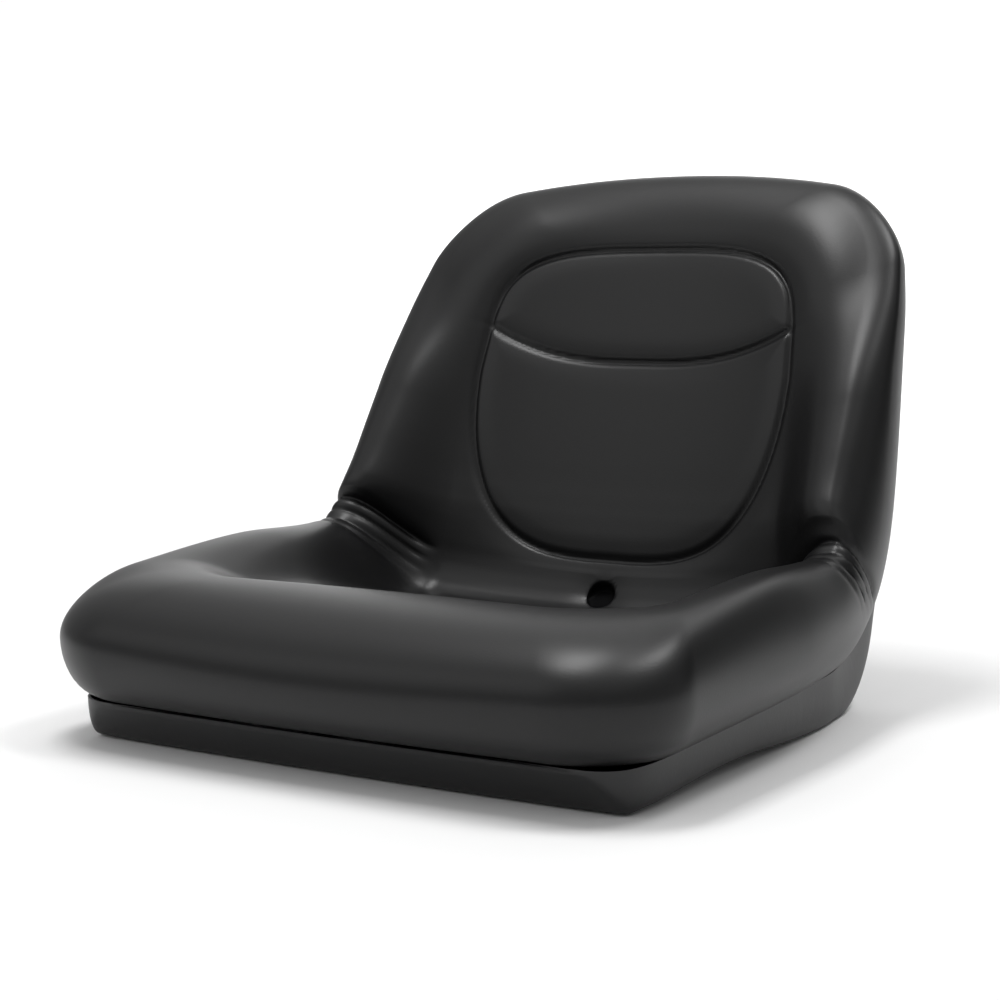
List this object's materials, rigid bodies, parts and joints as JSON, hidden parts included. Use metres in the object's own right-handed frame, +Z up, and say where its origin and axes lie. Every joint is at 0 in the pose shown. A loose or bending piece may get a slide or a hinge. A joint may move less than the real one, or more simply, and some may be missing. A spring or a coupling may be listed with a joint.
{
  "type": "ride on mower seat",
  "caption": "Bucket seat for a ride on mower: pressed steel pan, one-piece moulded foam cushion with wings, pleated bend and grooved back panel, threaded base and drain hole.",
  "frame": {"origin": "centre of the long bolt pattern on the underside of the pan's floor", "axes": "+Z up, the seat faces -Y, +X to the sitter's left"},
  "size_m": [0.5222, 0.5845, 0.429],
  "materials": {
    "vinyl": "satin",
    "steel": "satin",
    "zinc": "satin",
    "tube": "matte"
  },
  "bodies": {
    "root": {"seat_pan": "steel", "cushion": "vinyl", "weld_nuts": "zinc", "drain_tube": "tube"}
  },
  "joints": []
}
